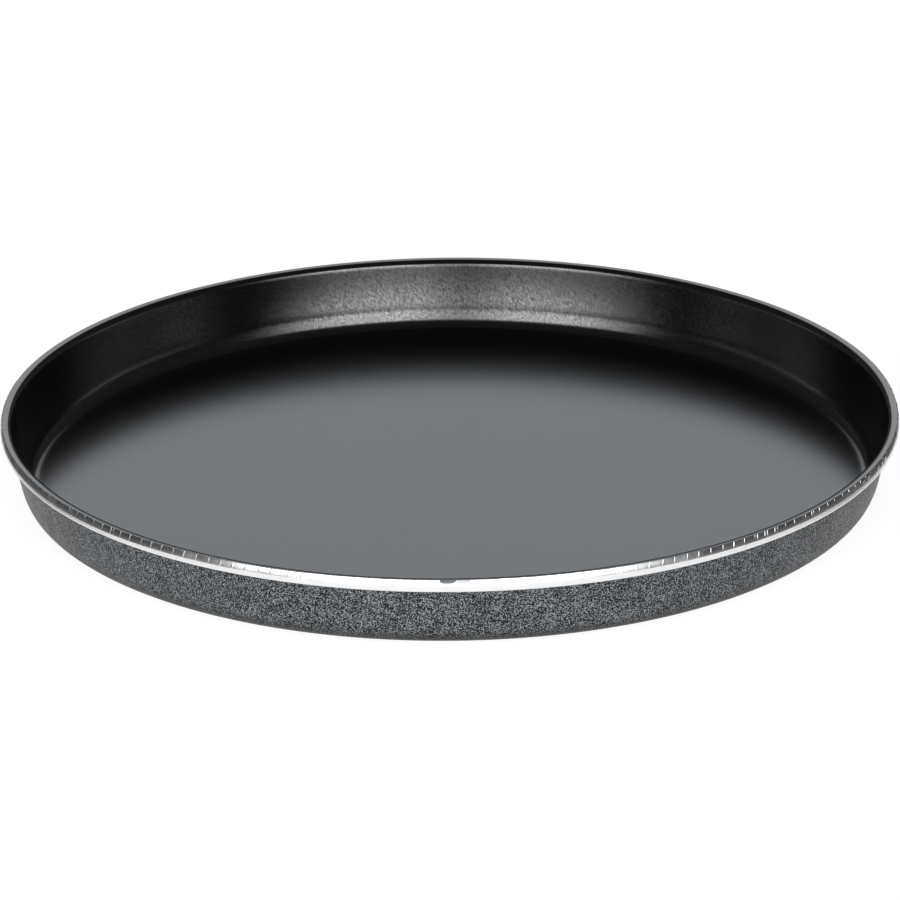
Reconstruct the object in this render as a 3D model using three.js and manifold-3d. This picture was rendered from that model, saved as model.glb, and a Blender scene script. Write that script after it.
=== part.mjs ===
// Microwave crisp plate: a shallow round pan pressed from aluminium sheet, lined inside with a
// non-stick coat, painted outside with a speckled coat, and backed by a ferrite-filled rubber pad
// that soaks up microwaves and heats the base.
// Millimetres, +Z up. The origin is the centre of the pad's underside, where the plate rests.
import * as THREE from "three";
import { mergeVertices } from "three/addons/utils/BufferGeometryUtils.js";
import Module from "manifold-3d";

const wasm = await Module();
wasm.setup();

// Driving dimensions of the pressed pan
const rimDiameter = 305; // across the turned-down lip
const panHeight = 25; // top of the rim to the underside of the base
const sheetThickness = 0.9;
const wallDraft = THREE.MathUtils.degToRad(11.2); // lean of the wall from upright
const insideCornerRadius = 5; // floor to flare, on the upper face
const flareRadius = 17; // flare to wall, on the upper face
const flareLean = THREE.MathUtils.degToRad(25); // lean from upright where the flare meets the corner

// Rim: the bend of the mouth, a narrow level crest, a steep shoulder and the lip
const mouthBendRadius = 1.65; // wall to crest, on the upper face
const crestWidth = 1.1;
const shoulderWidth = 0.35;
const shoulderHeight = 1.5;
const lipDepth = 3.7; // top of the rim to the foot of the lip

// Marks that the beading roller leaves down the shoulder
const markCount = 196;
const markBite = 0.12; // into the crest
const markRidge = 0.55; // left standing between two marks

// Coats, pad and the film that bonds it
const liningThickness = 0.15;
const liningMargin = 0.1; // between the edge of the lining and the marks
const outerCoatThickness = 0.15;
const outerCoatTuck = 1; // height of the outer coat hidden behind the lip
const bondThickness = 0.2;
const padThickness = 2;
const padEdgeRadius = 0.8; // round the foot of the pad
const padMargin = 9; // flat of the floor beyond the edge of the pad
const coatMargin = 1.5; // between the pad and the outer coat
const bondMargin = 2; // between the edges of the film and the pad
const layerGap = 0.05; // clearance between neighbouring layers

// Facets
const turnSegments = markCount / 2; // round every turned piece
const cornerSteps = 3;
const flareSteps = 2;
const mouthSteps = 4;
const edgeSteps = 3; // round the foot of the lip and of the pad

// Levels and radii that follow
const quarterTurn = Math.PI / 2;
const rimRadius = rimDiameter / 2;
const bondBottom = padThickness + layerGap;
const bondTop = bondBottom + bondThickness;
const baseLevel = bondTop + layerGap;
const floorLevel = baseLevel + sheetThickness;
const rimLevel = baseLevel + panHeight;

// The sheet's upper face in the profile plane, from the floor out over the rim
const floorCentre = point(0, floorLevel);
const shoulderHead = point(rimRadius - shoulderWidth, rimLevel);
const mouthCentre = point(shoulderHead.x - crestWidth, rimLevel - mouthBendRadius);
const mouthBend = arc(mouthCentre, mouthBendRadius, Math.PI - wallDraft, quarterTurn, mouthSteps);
const wallHead = mouthBend[0];
const corner = insideCorner();
const shoulderFoot = point(rimRadius, rimLevel - shoulderHeight);
const lipEnd = point(rimRadius, rimLevel - lipDepth + sheetThickness / 2);
const markHead = point(shoulderHead.x - markBite, rimLevel);
const padRadius = corner[0].x - padMargin;

function point(r, z) {
  return new THREE.Vector2(r, z);
}

function spoke(angle, length) {
  return point(Math.cos(angle), Math.sin(angle)).multiplyScalar(length);
}

// Points of an arc in the profile plane, both ends included.
function arc(centre, radius, from, to, steps) {
  return Array.from({ length: steps + 1 }, (_, i) => {
    return spoke(THREE.MathUtils.lerp(from, to, i / steps), radius).add(centre);
  });
}

function wallPoint(level) {
  return point(wallHead.x - (wallHead.y - level) * Math.tan(wallDraft), level);
}

// The corner between floor and wall: a tight arc off the floor, then a slack flare into the wall.
function insideCorner() {
  const flareShift = spoke(-flareLean, insideCornerRadius - flareRadius);
  const flareHead = spoke(-wallDraft, flareRadius).add(flareShift);
  const height = floorLevel + insideCornerRadius;
  const centre = point(wallPoint(height + flareHead.y).x - flareHead.x, height);
  const tight = arc(centre, insideCornerRadius, -quarterTurn, -flareLean, cornerSteps);
  const flare = arc(flareShift.add(centre), flareRadius, -flareLean, -wallDraft, flareSteps);
  return [...tight, ...flare.slice(1)];
}

// A line moved square to itself, to its left as it runs from the axis: up off the floor, into the pan.
function offset(line, distance) {
  const sides = line.slice(1).map((end, i) => {
    const along = end.clone().sub(line[i]).normalize();
    return point(-along.y, along.x);
  });
  return line.map((turn, i) => {
    const before = sides[Math.max(i - 1, 0)];
    const after = sides[Math.min(i, sides.length - 1)];
    const mitre = before.clone().add(after);
    return mitre.multiplyScalar(distance / (1 + before.dot(after))).add(turn);
  });
}

// A closed solid from a mesh whose faces point out.
function solid(geometry) {
  geometry.deleteAttribute("normal");
  geometry.deleteAttribute("uv");
  const merged = mergeVertices(geometry);
  const corners = merged.index.array;
  const triVerts = [];
  for (let i = 0; i < corners.length; i += 3) {
    const [a, b, c] = corners.subarray(i, i + 3);
    if (a !== b && b !== c && c !== a) triVerts.push(a, b, c);
  }
  const vertProperties = merged.attributes.position.array;
  const mesh = new wasm.Mesh({ numProp: 3, vertProperties, triVerts: new Uint32Array(triVerts) });
  return new wasm.Manifold(mesh);
}

function geometryOf(body) {
  const { vertProperties, triVerts } = body.getMesh();
  const geometry = new THREE.BufferGeometry();
  geometry.setAttribute("position", new THREE.BufferAttribute(vertProperties, 3));
  geometry.setIndex(new THREE.BufferAttribute(triVerts, 1));
  geometry.computeVertexNormals();
  return geometry;
}

// Turns a profile about Z. The profile runs out along its lower side and back along its upper side.
function turned(profile) {
  return solid(new THREE.LatheGeometry(profile, turnSegments).rotateX(quarterTurn));
}

// Shallow flats down the shoulder of the rim, deepest at its top, as one cutter.
function rollerMarks() {
  const pitch = (2 * Math.PI * rimRadius) / markCount;
  const middle = markHead.clone().lerp(shoulderFoot, 0.5);
  const lean = Math.atan2(shoulderFoot.x - markHead.x, shoulderHeight);
  const flat = new THREE.BoxGeometry(sheetThickness, pitch - markRidge, 2 * shoulderHeight);
  flat.translate(sheetThickness / 2, 0, 0).rotateY(-lean).translate(middle.x, 0, middle.y);
  const marks = Array.from({ length: markCount }, (_, i) => {
    return solid(flat.clone().rotateZ(((i + 0.5) * 2 * Math.PI) / markCount));
  });
  return wasm.Manifold.union(marks);
}

// Pressed pan: floor, leaning wall and turned-down rim in one sheet, round at the edge of the lip.
function panShell() {
  const upperFace = [floorCentre, ...corner, ...mouthBend, shoulderHead, shoulderFoot, lipEnd];
  const underside = offset(upperFace, -sheetThickness);
  const lipMiddle = point(rimRadius - sheetThickness / 2, lipEnd.y);
  const lipFoot = arc(lipMiddle, sheetThickness / 2, -Math.PI, 0, edgeSteps).slice(1, -1);
  const pressed = turned([...underside, ...lipFoot, ...upperFace.reverse()]);
  return pressed.subtract(rollerMarks());
}

// Non-stick coat over the floor, the wall, the bend of the mouth and the crest.
function nonstickLining() {
  const edge = point(markHead.x - liningMargin, rimLevel);
  const line = [floorCentre, ...corner, ...mouthBend, edge];
  return turned([...offset(line, layerGap), ...offset(line, layerGap + liningThickness).reverse()]);
}

// Speckled coat over the margin of the base round the pad, the corner and the outside of the wall.
function speckledOuterCoat() {
  const head = wallPoint(rimLevel - lipDepth + outerCoatTuck);
  const line = [point(padRadius + coatMargin, floorLevel), ...corner, head];
  const near = offset(line, -sheetThickness - layerGap);
  const far = offset(line, -sheetThickness - layerGap - outerCoatThickness);
  return turned([...far, ...near.reverse(), far[0]]);
}

function bondFilm() {
  const edge = padRadius - bondMargin;
  return turned([point(0, bondBottom), point(edge, bondBottom), point(edge, bondTop), point(0, bondTop)]);
}

// Ferrite rubber pad, rounded round its foot.
function ferritePad() {
  const edgeCentre = point(padRadius - padEdgeRadius, padEdgeRadius);
  const edge = arc(edgeCentre, padEdgeRadius, -quarterTurn, 0, edgeSteps);
  return turned([point(0, 0), ...edge, point(padRadius, padThickness), point(0, padThickness)]);
}

function finish(color, roughness, metalness = 0) {
  return new THREE.MeshStandardMaterial({ color, roughness, metalness });
}

const pieces = [
  ["pan_shell", panShell, finish(0xd8dadb, 0.28, 1)],
  ["nonstick_lining", nonstickLining, finish(0x17191b, 0.38)],
  ["speckled_outer_coat", speckledOuterCoat, finish(0x4a4d50, 0.5)],
  ["bond_film", bondFilm, finish(0x8c8478, 0.7)],
  ["ferrite_pad", ferritePad, finish(0x2b2725, 0.85)],
];

const crispPlate = new THREE.Group();
for (const [name, makeSolid, material] of pieces) {
  const mesh = new THREE.Mesh(geometryOf(makeSolid()), material);
  mesh.name = name;
  crispPlate.add(mesh);
}

export default crispPlate;
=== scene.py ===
import math
import bpy
import numpy as np
from mathutils import Matrix, Vector


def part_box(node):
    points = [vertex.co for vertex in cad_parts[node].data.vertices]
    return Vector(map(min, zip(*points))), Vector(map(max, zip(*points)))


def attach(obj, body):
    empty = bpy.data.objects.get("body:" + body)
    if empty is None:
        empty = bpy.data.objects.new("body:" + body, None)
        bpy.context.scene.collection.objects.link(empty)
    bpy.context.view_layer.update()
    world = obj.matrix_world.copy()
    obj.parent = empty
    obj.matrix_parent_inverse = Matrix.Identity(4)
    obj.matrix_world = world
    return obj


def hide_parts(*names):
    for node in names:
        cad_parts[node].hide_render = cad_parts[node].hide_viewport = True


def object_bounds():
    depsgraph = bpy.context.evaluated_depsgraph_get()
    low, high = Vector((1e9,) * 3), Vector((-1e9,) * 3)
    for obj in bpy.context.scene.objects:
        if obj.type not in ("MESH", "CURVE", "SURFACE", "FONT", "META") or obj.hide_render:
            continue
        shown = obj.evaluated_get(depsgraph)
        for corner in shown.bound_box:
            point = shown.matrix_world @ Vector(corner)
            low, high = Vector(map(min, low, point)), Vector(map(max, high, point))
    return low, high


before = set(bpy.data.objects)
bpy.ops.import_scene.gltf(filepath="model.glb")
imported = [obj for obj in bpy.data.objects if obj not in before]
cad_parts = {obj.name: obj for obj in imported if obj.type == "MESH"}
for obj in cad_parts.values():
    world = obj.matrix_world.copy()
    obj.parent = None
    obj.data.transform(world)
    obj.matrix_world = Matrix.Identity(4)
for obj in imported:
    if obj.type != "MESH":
        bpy.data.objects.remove(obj)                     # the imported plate, every node at its real place
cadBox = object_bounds()                  # bounds of the shown parts, whose top the camera aims at
mm = 0.001
print("frame:", ", ".join(sorted(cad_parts)))


class Wire:                           # one node socket, so that shader maths reads as sums
    def __init__(self, tree, socket=None):
        self.tree = tree
        self.socket = socket

    def node(self, kind, settings, sockets, output=0):
        made = self.tree.nodes.new(kind)
        for name, value in settings.items():
            setattr(made, name, value)
        for name, value in sockets.items():
            if isinstance(value, Wire):
                self.tree.links.new(value.socket, made.inputs[name])
            else:
                made.inputs[name].default_value = value
        return Wire(self.tree, made.outputs[output] if len(made.outputs) else None)

    def math(self, operation, *values):
        return self.node("ShaderNodeMath", {"operation": operation}, dict(enumerate(values)))

    def __add__(self, other):
        return self.math("ADD", self, other)

    def __sub__(self, other):
        return self.math("SUBTRACT", self, other)

    def __rsub__(self, other):
        return self.math("SUBTRACT", other, self)

    def __mul__(self, other):
        return self.math("MULTIPLY", self, other)

    def __abs__(self):
        return self.math("ABSOLUTE", self)

    __radd__ = __add__
    __rmul__ = __mul__

    def place(self):                                            # on the object, in metres
        return self.node("ShaderNodeTexCoord", {}, {}, "Object")

    def ramp(self, low, high, fromValue=0.0, toValue=1.0):      # eased from one value to the other
        sockets = {"Value": self, 1: low, 2: high, 3: fromValue, 4: toValue}
        return self.node("ShaderNodeMapRange", {"interpolation_type": "SMOOTHSTEP"}, sockets)

    def blend(self, first, second):                             # colour, by this value
        return self.node("ShaderNodeMix", {"data_type": "RGBA"}, {0: self, 6: first, 7: second}, 2)

    def scaled(self, vector):                                   # this vector, stretched axis by axis
        return self.node("ShaderNodeVectorMath", {"operation": "MULTIPLY"}, {0: self, 1: vector})

    def turned(self, angle):                                    # this vector, turned about Z
        sockets = {"Vector": self, "Angle": angle}
        return self.node("ShaderNodeVectorRotate", {"rotation_type": "Z_AXIS"}, sockets)

    def axis(self, letter):
        return self.node("ShaderNodeSeparateXYZ", {}, {0: self}, letter)

    def noise(self, size, detail=2.0, rough=0.5):               # grain of about that size, 0 to 1
        sockets = {"Vector": self, "Scale": 1 / size, "Detail": detail, "Roughness": rough}
        return self.node("ShaderNodeTexNoise", {}, sockets)

    def relief(self, depth):                                    # this height as a bumped normal
        return self.node("ShaderNodeBump", {}, {"Strength": 1.0, "Distance": depth, "Height": self})


def grey(level, blue=0.0):
    return (level, level * (1 + blue / 2), level * (1 + blue), 1.0)


def newFinish(name):
    finish = bpy.data.materials.new(name)
    finish.use_nodes = True
    finish.node_tree.nodes.clear()
    return finish, Wire(finish.node_tree)


def closeFinish(wires, sockets):
    surface = wires.node("ShaderNodeBsdfPrincipled", {}, sockets)
    wires.node("ShaderNodeOutputMaterial", {}, {"Surface": surface})


# camera, fitted to the ellipse of the rim in the photograph
view = {
    "elevation": math.radians(21.04),
    "distance": 1830 * mm,            # to the middle of the rim
    "lens": 215.2,
    "sensor": 36,
    "drop": 14.8 * mm,                # the picture's middle lies this far below the rim's
    "roll": math.radians(-0.51),
}


def makeCamera():
    rimMiddle = Vector((0, 0, cadBox[1].z))
    away = Vector((0, -math.cos(view["elevation"]), math.sin(view["elevation"])))
    up = Vector((0, math.sin(view["elevation"]), math.cos(view["elevation"])))
    spot = rimMiddle + away * view["distance"]
    aim = rimMiddle - up * view["drop"]
    lens = bpy.data.cameras.new("camera")
    lens.lens = view["lens"]
    lens.sensor_width = view["sensor"]
    camera = bpy.data.objects.new("camera", lens)
    turn = (aim - spot).to_track_quat("-Z", "Y").to_matrix().to_4x4()
    camera.matrix_world = Matrix.Translation(spot) @ turn @ Matrix.Rotation(view["roll"], 4, "Z")
    bpy.context.scene.collection.objects.link(camera)
    bpy.context.scene.camera = camera


makeCamera()
print("camera set")


# studio: white paper on a floor, a card behind, a wide soft light in front, dim sides and ceiling
studio = {
    "paper": 0.28,
    "glow": 0.88,                     # brings paper and floor to white for the rays that see it
    "matt": 0.8,                      # roughness of both
    "paperReach": ((0.125, -1.2), (0.222, 0.8)),     # half width and place of its near and far edge
    "paperThickness": 0.3 * mm,
    "floor": 0.25,
    "floorReach": ((30.0, -30.0), (30.0, 30.0)),
    "room": 0.1,
    "front": 6.8,
    "frontMiddle": -0.035,            # radians, to the right where above 0
    "frontAcross": (0.5, 1.02),       # radians to each side, where it starts and ends to fade
    "frontGap": (-0.06, 0.24, 0.4),   # dimmer between its two boxes: middle, half width, share left
    "frontFoot": (-0.02, 0.1),        # radians above level
    "frontHead": (0.38, 0.66),
    "card": 1.55,
    "cardTint": (0.95, 1.0, 1.045, 1),
    "cardAcross": (0.17, 0.3),
    "cardFoot": (0.25, 0.33),
    "cardHead": (0.6, 0.9),
}


def stageSheet(name, near, far, depth):         # level, from its near edge to its far one
    mesh = bpy.data.meshes.new(name)
    corners = [(side * half, place, depth) for half, place in (near, far) for side in (-1, 1)]
    mesh.from_pydata(corners, [], [(0, 1, 3, 2)])
    sheet = bpy.data.objects.new(name, mesh)
    bpy.context.scene.collection.objects.link(sheet)
    return mesh


def paleFinish(name, level, rays):              # glows to white for these rays alone
    finish, wires = newFinish(name)
    seen = sum(wires.node("ShaderNodeLightPath", {}, {}, ray) for ray in rays)
    closeFinish(wires, {
        "Base Color": grey(level),
        "Roughness": studio["matt"],
        "Emission Color": seen.blend((0, 0, 0, 1), (1, 1, 1, 1)),
        "Emission Strength": studio["glow"],
    })
    return finish


def makeStudio():
    world = bpy.data.worlds.new("studio")
    bpy.context.scene.world = world
    world.use_nodes = True
    world.node_tree.nodes.clear()
    wires = Wire(world.node_tree)
    toward = wires.node("ShaderNodeTexCoord", {}, {}, "Generated")
    across = toward.axis("X")
    back = toward.axis("Y")
    up = toward.axis("Z")
    height = up.math("ARCSINE", up)                                 # radians above level
    aside = across.math("ARCTAN2", across, -1 * back)               # 0 straight ahead of the plate
    asideBack = abs(across.math("ARCTAN2", across, back))           # 0 straight behind it
    gapMiddle, gapHalf, gapShare = studio["frontGap"]
    front = abs(aside - studio["frontMiddle"]).ramp(*studio["frontAcross"], 1.0, 0.0)
    front = front * abs(aside - gapMiddle).ramp(0.0, gapHalf, gapShare, 1.0)
    front = front * height.ramp(*studio["frontFoot"]) * height.ramp(*studio["frontHead"], 1.0, 0.0)
    card = asideBack.ramp(*studio["cardAcross"], 1.0, 0.0)
    card = card * height.ramp(*studio["cardFoot"]) * height.ramp(*studio["cardHead"], 1.0, 0.0)
    strength = front * studio["front"] + card * studio["card"] + studio["room"]
    tint = card.blend((1, 1, 1, 1), studio["cardTint"])
    light = wires.node("ShaderNodeBackground", {}, {"Color": tint, "Strength": strength})
    wires.node("ShaderNodeOutputWorld", {}, {"Surface": light})

    floor = stageSheet("floor", *studio["floorReach"], -studio["paperThickness"])
    floor.materials.append(paleFinish("floorPaint", studio["floor"], ["Is Camera Ray"]))
    paper = stageSheet("paper", *studio["paperReach"], 0)
    rays = ["Is Camera Ray", "Is Glossy Ray", "Is Transmission Ray"]
    paper.materials.append(paleFinish("whitePaper", studio["paper"], rays))
    bpy.context.scene.view_settings.view_transform = "Standard"


makeStudio()
print("studio lit")


# the pressed sheet's section, shared by the pan, its lining and its outer coat
section = {
    "sheet": 0.9 * mm,
    "draft": math.radians(11.2),
    "bow": 0.12 * mm,                 # the wall swells by this much at half height
    "crease": 0.03 * mm,              # that the wall steps in by, just above the flare
    "creaseReach": 0.14,              # share of the wall's height that the step takes
    "corner": 5.0 * mm,               # floor to flare
    "flare": 14.0 * mm,               # flare to wall
    "flareLean": math.radians(25),    # from upright, where the flare meets the corner
    "mouthBend": 1.9 * mm,            # wall to crest, on the upper face
    "crest": 1.65 * mm,
    "crestFall": 0.2 * mm,            # toward the mouth
    "shoulderWidth": 0.25 * mm,
    "shoulderHeight": 1.5 * mm,
    "shoulderRound": (0.12 * mm, 0.6 * mm),     # at its head and foot
    "lipDepth": 3.7 * mm,
    "gap": 0.05 * mm,                 # between neighbouring layers
    "liningEdge": 0.62 * mm,          # from the edge of the lining to the outside of the lip
}
shellLow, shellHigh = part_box("pan_shell")
rimRadius = shellHigh.y
rimLevel = shellHigh.z
floorLevel = shellLow.z + section["sheet"]
shoulderHead = (rimRadius - section["shoulderWidth"], rimLevel)
shoulderFoot = (rimRadius, rimLevel - section["shoulderHeight"])
lipEnd = (rimRadius, rimLevel - section["lipDepth"] + section["sheet"] / 2)
crestRadius = shoulderHead[0] - section["crest"]
liningEdge = rimRadius - section["liningEdge"]
bendReach = section["mouthBend"] * math.tan((math.pi / 2 - section["draft"]) / 2)
mouth = (crestRadius - bendReach, rimLevel - section["crestFall"])
wallTop = rimLevel - section["mouthBend"] * (1 - math.sin(section["draft"]))
flareReach = section["flare"] * math.tan((section["flareLean"] - section["draft"]) / 2)


def wallSpot(level):                  # upper face of the wall, where it would be straight
    return (mouth[0] - (mouth[1] - level) * math.tan(section["draft"]), level)


def bowlLine():                       # axis, then the corners where floor, flare, wall and crest meet
    lean = section["flareLean"]
    upFlare = np.array([math.sin(lean), math.cos(lean)])
    foot = section["corner"] * math.tan((math.pi / 2 - lean) / 2)
    length = foot + flareReach
    top = wallSpot(floorLevel + length * upFlare[1])
    return [(0, floorLevel), tuple(top - length * upFlare), top, mouth]


def bendRadii(lift):                  # of corner, flare and mouth, on a face lifted by this much
    return {1: section["corner"] - lift, 2: section["flare"] - lift, 3: section["mouthBend"] + lift}


bowl = bowlLine()
flareTop = bowl[2][1] + flareReach * math.cos(section["draft"])
rimLine = [shoulderHead, shoulderFoot, lipEnd]


def offsetLine(line, distance):       # moved square to itself, to the left as it runs
    line = np.array(line)
    along = np.diff(line, axis=0)
    along /= np.linalg.norm(along, axis=1)[:, None]
    sides = np.stack([-along[:, 1], along[:, 0]], axis=1)
    before = sides[[0, *range(len(sides))]]
    after = sides[[*range(len(sides)), -1]]
    share = 1 + (before * after).sum(axis=1)
    return line + (before + after) * (distance / share)[:, None]


def rounded(line, radii, arcStep=math.radians(7)):      # corners as arcs, by their place in the line
    smooth = []
    for i, corner in enumerate(np.array(line)):
        if i not in radii:
            smooth.append(corner)
            continue
        before = line[i - 1] - corner
        after = line[i + 1] - corner
        before = before / np.linalg.norm(before)
        after = after / np.linalg.norm(after)
        half = math.acos(np.clip(before @ after, -1, 1)) / 2
        middle = before + after
        centre = corner + middle / np.linalg.norm(middle) * radii[i] / math.sin(half)
        first = corner + before * radii[i] / math.tan(half) - centre
        last = corner + after * radii[i] / math.tan(half) - centre
        sweep = math.atan2(first[0] * last[1] - first[1] * last[0], first @ last)
        steps = max(2, round(abs(sweep) / arcStep))
        for turn in np.linspace(0, sweep, steps + 1):
            spin = np.array([[math.cos(turn), -math.sin(turn)], [math.sin(turn), math.cos(turn)]])
            smooth.append(centre + spin @ first)
    apart = np.linalg.norm(np.diff(smooth, axis=0), axis=1) > 0.001 * mm
    return np.array(smooth)[[True, *apart]]


def filled(line, spacing):            # points added along every stretch that is clear of the axis
    full = [line[0]]
    for start, end in zip(line, line[1:]):
        length = np.linalg.norm(end - start) if min(start[0], end[0]) > 0 else 0
        count = max(1, math.ceil(length / spacing))
        full += [start + (end - start) * i / count for i in range(1, count + 1)]
    return np.array(full)


def bowed(line):                      # the wall's slight swell, on whatever follows the wall
    rise = np.clip((line[:, 1] - flareTop) / (wallTop - flareTop), 0, 1)
    step = np.clip(rise / section["creaseReach"], 0, 1)
    crease = section["crease"] * step ** 2 * (3 - 2 * step) * (1 - rise)
    swell = section["bow"] * np.sin(math.pi * rise) - crease
    return line + np.stack([swell * (line[:, 0] < crestRadius), np.zeros(len(line))], axis=1)


capSides = 28                         # of the ring that closes a piece round its axis


def turnedPiece(name, outline, angles, shape=None):     # a section turned about Z into a closed mesh
    capped = outline[0, 0] < 1e-7     # from the axis, out and back to it
    if capped:
        guards = outline[[1, -2]] - (1 * mm, 0)
        rings = np.concatenate([guards[:1], outline[1:-1], guards[1:]])
    else:
        rings = np.concatenate([outline, outline[:1]])
    count = len(angles)
    radius = np.repeat(rings[:, :1], count, axis=1)
    level = np.repeat(rings[:, 1:], count, axis=1)
    angle = np.repeat(angles[None, :], len(rings), axis=0)
    film = None
    if shape:
        radius, level, angle, film = shape(radius, level, angle)
    points = np.stack([radius * np.cos(angle), radius * np.sin(angle), level], axis=2)
    points = points.reshape(-1, 3).tolist()
    index = np.arange(len(points)).reshape(radius.shape)
    if not capped:
        index[-1] = index[0]
        points = points[:-count]
    after = np.roll(index, -1, axis=1)
    faces = np.stack([index[:-1], after[:-1], after[1:], index[1:]], axis=2).reshape(-1, 4).tolist()
    if capped:
        for ring, way in ((0, -1), (-1, 1)):
            cuts = np.linspace(0, count, capSides + 1).round().astype(int)
            start = len(points)
            points += [(x / 2, y / 2, z) for x, y, z in (points[index[ring, cut]] for cut in cuts[:-1])]
            points.append((0, 0, float(level[ring, 0])))
            for i in range(capSides):
                near = start + i
                far = start + (i + 1) % capSides
                outer = [int(index[ring, j % count]) for j in range(cuts[i], cuts[i + 1] + 1)]
                faces.append([*outer, far, near][::way])
                faces.append([near, far, len(points) - 1][::way])
    mesh = bpy.data.meshes.new(name)
    mesh.from_pydata(points, [], faces)
    mesh.update()
    mesh.shade_smooth()
    if film is not None:              # how much coat lies on each point
        values = np.zeros(len(points))
        values[:film.size] = film.ravel()
        mesh.attributes.new("film", "FLOAT", "POINT").data.foreach_set("value", values)
    piece = bpy.data.objects.new(name, mesh)
    bpy.context.scene.collection.objects.link(piece)
    return piece


def dress(piece, node, finish):
    piece.data.materials.append(finish)
    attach(piece, "root")
    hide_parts(node)
    print(piece.name, len(piece.data.polygons), "faces")


def evenTurn(count):
    return np.linspace(0, 2 * math.pi, count, endpoint=False)


# bare pan: a pressed sheet whose turned-down lip and marked shoulder show
pan = {
    "marks": 210,
    "turn": 0.76,                     # of the first mark from the X axis, in pitches
    "bite": 0.25 * mm,                # of a mark into the crest
    "bulge": 0.05 * mm,               # of a mark, down its length
    "reach": 1.9 * mm,                # of a mark down from the crest
    "biteSpread": 0.12,               # share by which marks differ
    "burr": 0.2 * mm,                 # that the roller throws up, level with the lining
    "burrClear": 0.03 * mm,           # between the lining and the foot of the burr
    "burrLean": 0.02 * mm,            # of the burr, away from the lining
    "tilt": 0.05 * mm,                # one end of a mark deeper than the other, at most
    "slant": 0.1,                     # share of the pitch that a mark leans down the shoulder
    "jitter": 0.07,                   # share of the pitch that a ridge strays
    "ridge": (0.022, 0.04),           # half width at the head and the foot, as a share of the pitch
    "doubled": 0.2,                   # share of the marks with a second, lower ridge
    "doubledPlace": 0.26,             # of that ridge, as a share of the pitch
    "doubledHeight": 0.7,
    "uneven": 0.5,                    # share by which ridges and film fall short, at most
    "thinFilm": 0.5,                  # at the head of a mark, where the full coat of a lap is 1
    "filmWorn": 0.5,                  # share of the film that a ridge loses
    "crisp": (129, 145),              # marks between the sharpest ridges, first and last
    "dull": 0.45,                     # height of the other ridges
    "lapped": {155: 0.4, 156: 1.0, 157: 0.8},       # marks that the lining runs over, and how far
    "lapFoot": (0.72, 0.32),          # share of the reach where a lap ends, and where it is full
    "lapSides": (0.6, 0.5),           # the same, in pitches from the middle of the mark
    "lapTaper": 0.35,                 # by which a lap narrows down the reach
    "upright": (193, 194, 196, 197, 198),           # marks that the lip stands up in, not rolled over
    "uprightPlace": 0.45,             # middle of the upright stretch, in pitches
    "uprightSides": (0.3, 0.2),       # where it ends and where it is full, in pitches from its middle
    "uprightHead": (0.1, 0.225),      # share of the reach where it starts, and where it is full
    "uprightShort": 0.02 * mm,        # of the outside of the lip
    "sway": 0.22 * mm,                # by which the lip is deeper toward one side
    "swayTurn": math.radians(245),    # where the lip comes to its even depth, round from the X axis
    "swayMargin": 0.1 * mm,           # inside the lip that sways with it
    "across": (0, 0.008, 0.016, 0.026, 0.042, 0.1, 0.3, 0.5, 0.7, 0.9, 0.958, 0.974, 0.984, 0.992),
    "acrossDoubled": (0.21, 0.24, 0.26, 0.28, 0.31),
    "colour": (0.86, 0.865, 0.875, 1),
    "worn": (0.8, 0.805, 0.815, 1),
    "film": (0.42, 0.425, 0.435, 1),  # thin coat at the head of a mark
    "lap": (0.06, 0.062, 0.065, 1),   # full coat, where the lining runs over
    "roughness": (0.16, 0.3),
    "lineSize": 0.07 * mm,            # turning lines round the lip
    "lineDepth": 0.002 * mm,
    "lineStretch": 0.02,              # a line is this share as wide as it is long
    "smudge": 6 * mm,
    "filmRoughness": 0.06,            # more, where there is coat
    "hiddenStep": 4 * mm,             # between points of the section
    "shownStep": 0.14 * mm,
    "hiddenArc": math.radians(15),    # between points of an arc
    "shownArc": math.radians(12),
    "seed": 12,
}
markDraws = np.random.RandomState(pan["seed"])
markBite = pan["bite"] * (1 + pan["biteSpread"] * markDraws.uniform(-1, 1, pan["marks"]))
markTilt = pan["tilt"] * markDraws.uniform(-1, 1, pan["marks"])
markStray = pan["jitter"] * markDraws.uniform(-1, 1, pan["marks"])
markFilm = pan["thinFilm"] * (1 - pan["uneven"] * markDraws.uniform(0, 1, pan["marks"]) ** 2)
ridgeCrest = 1 - pan["uneven"] * markDraws.uniform(0, 1, pan["marks"]) ** 2
secondRidge = pan["doubledHeight"] * (markDraws.uniform(0, 1, pan["marks"]) < pan["doubled"])
markLap = np.zeros(pan["marks"])
for mark, share in pan["lapped"].items():
    markLap[mark] = share
markUpright = np.zeros(pan["marks"])
for mark in pan["upright"]:
    markUpright[mark] = 1
ridgeCrest[:pan["crisp"][0]] *= pan["dull"]
ridgeCrest[pan["crisp"][1]:] *= pan["dull"]


def eased(value, start, end):         # 0 at the start, 1 at the end, straight between
    return np.clip((value - start) / (end - start), 0, 1)


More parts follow.
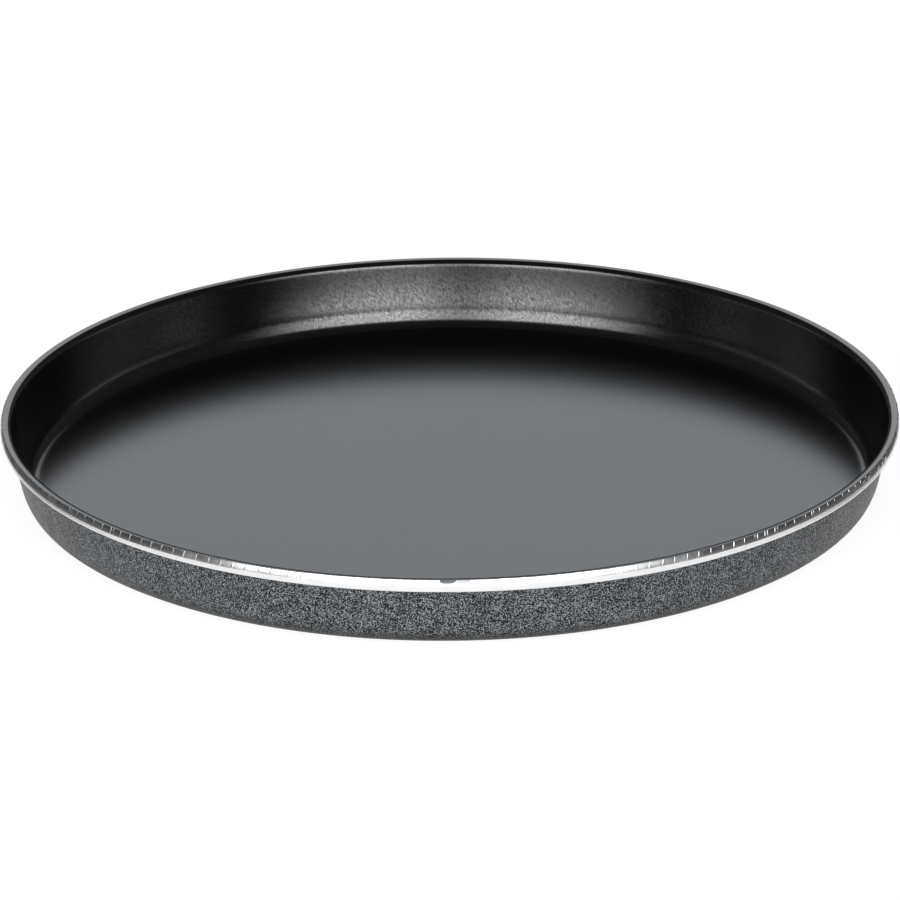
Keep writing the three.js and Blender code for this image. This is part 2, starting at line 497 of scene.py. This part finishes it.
def rollerMarks(radius, level, angle):
    count = pan["marks"]
    reach = pan["reach"]
    pitch = 2 * math.pi / count
    mark = np.floor(angle / pitch + 1e-6).astype(int) % count
    across = angle / pitch - np.floor(angle / pitch + 1e-6)
    below = rimLevel - level
    down = eased(below, 0, reach)
    head = shoulderHead[0] - markBite[mark]
    run = rimRadius - head
    length = np.hypot(run, reach)
    outR = reach / length
    outZ = run / length
    proud = (radius - head) * outR - below * outZ - 4 * pan["bulge"] * down * (1 - down)
    proud = proud + markTilt[mark] * (across - 0.5) * (1 - down)
    half = pan["ridge"][0] + (pan["ridge"][1] - pan["ridge"][0]) * down
    nearest = np.where(across < 0.5, mark, (mark + 1) % count)
    keep = ridgeCrest[nearest] * eased(np.minimum(across, 1 - across), half, 0)
    keep = np.maximum(keep, secondRidge[mark] * eased(abs(across - pan["doubledPlace"]), half, 0))
    onRim = (radius > liningEdge) & (level > rimLevel - reach)
    cut = np.where(onRim, np.maximum(proud, 0) * (1 - keep), 0)
    stand = markUpright[mark] * eased(abs(across - pan["uprightPlace"]), *pan["uprightSides"])
    stand = stand * eased(down, *pan["uprightHead"])
    rise = stand * (rimRadius - pan["uprightShort"] - radius + cut * outR)
    outward = np.where(onRim, rise, 0) - cut * outR
    film = markFilm[mark] * (1 - down) ** 0.5 * (1 - stand)
    lap = eased(abs(across - 0.5) + pan["lapTaper"] * down, *pan["lapSides"])
    lap = lap * eased(down, *pan["lapFoot"])
    film = onRim * np.maximum(film * (1 - pan["filmWorn"] * keep), markLap[mark] * lap)
    stray = markStray[mark] * (1 - across) + markStray[(mark + 1) % count] * across
    turn = (pan["turn"] + stray - pan["slant"] * down) * pitch
    onLip = radius > rimRadius - section["sheet"] - pan["swayMargin"]
    sway = pan["sway"] * np.sin(angle - pan["swayTurn"]) * eased(below, reach, section["lipDepth"]) * onLip
    return radius + outward, level - cut * outZ - sway, angle + turn, film


def bareAluminium():
    finish, wires = newFinish("bareAluminium")
    place = wires.place()
    along = pan["lineStretch"]
    lines = place.scaled((along, along, 1)).noise(pan["lineSize"], 3, 0.7)      # runs round the rim
    smudge = place.noise(pan["smudge"], 3)
    film = wires.node("ShaderNodeAttribute", {"attribute_name": "film"}, {}, "Fac")
    gloss = (lines * 0.5 + smudge * 0.5).ramp(0.3, 0.7, *pan["roughness"])
    bare = smudge.blend(pan["worn"], pan["colour"])
    thin = film.ramp(0.0, pan["thinFilm"]).blend(bare, pan["film"])
    closeFinish(wires, {
        "Base Color": film.ramp(pan["thinFilm"], 1.0).blend(thin, pan["lap"]),
        "Metallic": 1.0,
        "Roughness": gloss + film * pan["filmRoughness"],
        "Normal": lines.relief(pan["lineDepth"]),
    })
    return finish


def makePan():
    sheet = section["sheet"]
    burrFoot = (liningEdge + pan["burrClear"], rimLevel)
    burrHead = (burrFoot[0] + pan["burrLean"], rimLevel + pan["burr"])
    shoulder = (shoulderHead[0], burrHead[1])
    headRound, footRound = section["shoulderRound"]
    under = rounded(offsetLine([*bowl, *rimLine], -sheet), bendRadii(-sheet), pan["hiddenArc"])
    upper = np.array([*bowl, burrFoot, burrHead, shoulder, *rimLine[1:]])
    above = rounded(upper, {**bendRadii(0), 6: headRound, 7: footRound}, pan["shownArc"])
    below = bowed(filled(under, pan["hiddenStep"]))
    hidden = bowed(filled(above[above[:, 0] < crestRadius], pan["hiddenStep"]))
    shown = filled(above[above[:, 0] >= crestRadius], pan["shownStep"])
    turns = np.linspace(-math.pi, 0, 9)[1:-1]
    foot = sheet / 2 * np.stack([np.cos(turns), np.sin(turns)], axis=1)
    foot += (rimRadius - sheet / 2, lipEnd[1])
    outline = np.concatenate([below, foot, shown[::-1], hidden[::-1]])
    places = []
    for mark in range(pan["marks"]):
        extra = pan["acrossDoubled"] if secondRidge[mark] else ()
        places += [mark + share for share in sorted([*pan["across"], *extra])]
    angles = np.array(places) * 2 * math.pi / pan["marks"]
    piece = turnedPiece("pressed_pan", outline, angles, rollerMarks)
    dress(piece, "pan_shell", bareAluminium())


makePan()


# non-stick lining: satin charcoal over the floor, the wall, the bend of the mouth and the crest
lining = {
    "thickness": 0.15 * mm,
    "turns": 588,
    "dark": grey(0.0008, 0.3),
    "light": grey(0.0014, 0.3),
    "roughness": (0.21, 0.25),        # of the floor
    "wallRoughness": 0.12,
    "smoothRise": (1 * mm, 4 * mm),   # above the floor, where one finish turns into the other
    "grain": 0.5 * mm,
    "grainDepth": 0.005 * mm,
    "cloud": 40 * mm,
    "streak": 0.27 * mm,
    "streakStretch": 0.07,            # a streak is this share as wide as it is long
    "streakRise": (0.5 * mm, 2.5 * mm),         # above the floor, where streaks start and are full
    "streakDepth": 0.04 * mm,
    "streakSheen": (0.4, 0.6),        # of the streaks' own noise, from no sheen to full
    "streakTwist": 3.9,               # radians of lean for each metre up the wall
    "faceStep": 0.7 * mm,             # between points of the section
    "backStep": 2.5 * mm,
}


def nonstickCoat():
    finish, wires = newFinish("nonstickCoat")
    place = wires.place()
    height = place.axis("Z")
    leaning = place.turned(height * -lining["streakTwist"])
    streaks = leaning.scaled((1, 1, lining["streakStretch"])).noise(lining["streak"], 2)
    onWall = height.ramp(*[floorLevel + rise for rise in lining["streakRise"]])
    onWall = onWall * height.ramp(wallTop, rimLevel, 1.0, 0.0)
    grain = place.noise(lining["grain"], 3, 0.6)
    cloud = place.noise(lining["cloud"], 2)
    satin = grain.ramp(0.3, 0.7, *lining["roughness"])
    smooth = height.ramp(*[floorLevel + rise for rise in lining["smoothRise"]])
    bumps = streaks * onWall * lining["streakDepth"] + grain * lining["grainDepth"]
    closeFinish(wires, {
        "Base Color": cloud.blend(lining["dark"], lining["light"]),
        "Roughness": satin + smooth * (lining["wallRoughness"] - satin),
        "IOR": 1.5,
        "Coat Weight": streaks.ramp(*lining["streakSheen"]) * onWall,
        "Coat Roughness": lining["wallRoughness"],
        "Normal": bumps.relief(1.0),
    })
    return finish


def makeLining():
    near = section["gap"]
    far = near + lining["thickness"]
    edge = (liningEdge - lining["thickness"] / 2, rimLevel)
    line = [*bowl, edge]

    def face(lift):
        return rounded(offsetLine(line, lift), bendRadii(lift))

    top = bowed(filled(face(far), lining["faceStep"]))
    back = bowed(filled(face(near), lining["backStep"]))
    turns = np.linspace(math.pi / 2, -math.pi / 2, 7)[1:-1]
    rim = lining["thickness"] / 2 * np.stack([np.cos(turns), np.sin(turns)], axis=1)
    rim += (edge[0], rimLevel + (near + far) / 2)
    outline = np.concatenate([back, rim[::-1], top[::-1]])
    piece = turnedPiece("nonstick_lining_coat", outline, evenTurn(lining["turns"]))
    dress(piece, "nonstick_lining", nonstickCoat())


makeLining()


# speckled outer coat: grainy dark grey paint, from the pad's margin up behind the lip
outerCoat = {
    "thickness": 0.15 * mm,
    "tuck": 1.0 * mm,                 # up behind the lip
    "margin": 1.5 * mm,               # clear of the pad
    "turns": 588,
    "dark": grey(0.003, 0.2),
    "light": grey(0.26, 0.12),
    "footShade": grey(0.004, 0.1),     # painted shade toward the foot, dark paint standing in for the contact shadow
    "footShadeRise": (-1 * mm, 5.5 * mm),          # from the floor's level, where the painted shade fades
    "footShadeShare": 0.85,              # of the painted shade, at the foot
    "grain": 0.47 * mm,
    "speck": (0.5, 0.72),             # of the grain's own noise, from dark to light
    "patch": 5 * mm,
    "patchShare": 0.12,               # by which patches shift the specks
    "relief": 0.15 * mm,
    "faceStep": 2 * mm,               # between points of the section
    "backStep": 4 * mm,
    "roughness": (0.4, 0.5),
    "specular": 0.2,
}


def speckledPaint():
    finish, wires = newFinish("speckledPaint")
    place = wires.place()
    grains = place.noise(outerCoat["grain"], 1.0, 0.5)
    patches = place.noise(outerCoat["patch"], 2)
    specks = (grains + patches * outerCoat["patchShare"]).ramp(*outerCoat["speck"])
    fade = [floorLevel + rise for rise in outerCoat["footShadeRise"]]
    # painted shade: the paint is darkened toward the foot, standing in for the contact shadow
    foot = place.axis("Z").ramp(*fade, outerCoat["footShadeShare"], 0.0)
    paint = specks.blend(outerCoat["dark"], outerCoat["light"])
    closeFinish(wires, {
        "Base Color": foot.blend(paint, outerCoat["footShade"]),
        "Roughness": specks.ramp(0, 1, *outerCoat["roughness"]),
        "IOR": 1.5,
        "Specular IOR Level": outerCoat["specular"],
        "Normal": grains.relief(outerCoat["relief"]),
    })
    return finish


def makeOuterCoat():
    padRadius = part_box("ferrite_pad")[1].y
    start = (padRadius + outerCoat["margin"], floorLevel)
    head = wallSpot(rimLevel - section["lipDepth"] + outerCoat["tuck"])
    line = [start, *bowl[1:3], head]
    near = section["sheet"] + section["gap"]
    far = near + outerCoat["thickness"]

    def face(drop):
        return rounded(offsetLine(line, -drop), {1: section["corner"] + drop, 2: section["flare"] + drop})

    outside = bowed(filled(face(far), outerCoat["faceStep"]))
    inside = bowed(filled(face(near), outerCoat["backStep"]))
    outline = np.concatenate([outside, inside[::-1]])
    piece = turnedPiece("speckled_coat", outline, evenTurn(outerCoat["turns"]))
    dress(piece, "speckled_outer_coat", speckledPaint())


makeOuterCoat()


# ferrite pad: moulded rubber disc under the base
pad = {
    "turns": 392,
    "edgeRound": 0.8 * mm,            # round the foot
    "topRound": 0.15 * mm,
    "step": 12 * mm,                  # between points of the section
    "dark": (0.016, 0.014, 0.013, 1),
    "light": (0.034, 0.029, 0.026, 1),
    "roughness": (0.62, 0.82),
    "grain": 0.6 * mm,
    "cloud": 18 * mm,
    "depth": 0.02 * mm,
}


def ferriteRubber():
    finish, wires = newFinish("ferriteRubber")
    place = wires.place()
    grain = place.noise(pad["grain"], 4, 0.6)
    cloud = place.noise(pad["cloud"], 3)
    closeFinish(wires, {
        "Base Color": cloud.blend(pad["dark"], pad["light"]),
        "Roughness": (grain * 0.5 + cloud * 0.5).ramp(0.3, 0.7, *pad["roughness"]),
        "Normal": grain.relief(pad["depth"]),
    })
    return finish


def makePad():
    low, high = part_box("ferrite_pad")
    line = [(0, low.z), (high.y, low.z), (high.y, high.z), (0, high.z)]
    outline = filled(rounded(np.array(line), {1: pad["edgeRound"], 2: pad["topRound"]}), pad["step"])
    piece = turnedPiece("moulded_pad", outline, evenTurn(pad["turns"]))
    dress(piece, "ferrite_pad", ferriteRubber())


makePad()


# bond film: a thin bed of silicone, hidden between the pad and the base
bond = {
    "dark": (0.22, 0.19, 0.155, 1),
    "light": (0.31, 0.275, 0.23, 1),
    "roughness": (0.55, 0.72),
    "cloud": 9 * mm,
}


def siliconeFilm():
    finish, wires = newFinish("siliconeFilm")
    cloud = wires.place().noise(bond["cloud"], 3)
    closeFinish(wires, {
        "Base Color": cloud.blend(bond["dark"], bond["light"]),
        "Roughness": cloud.ramp(0.3, 0.7, *bond["roughness"]),
    })
    return finish


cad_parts["bond_film"].material_slots[0].material = siliconeFilm()
print("bond film finished")
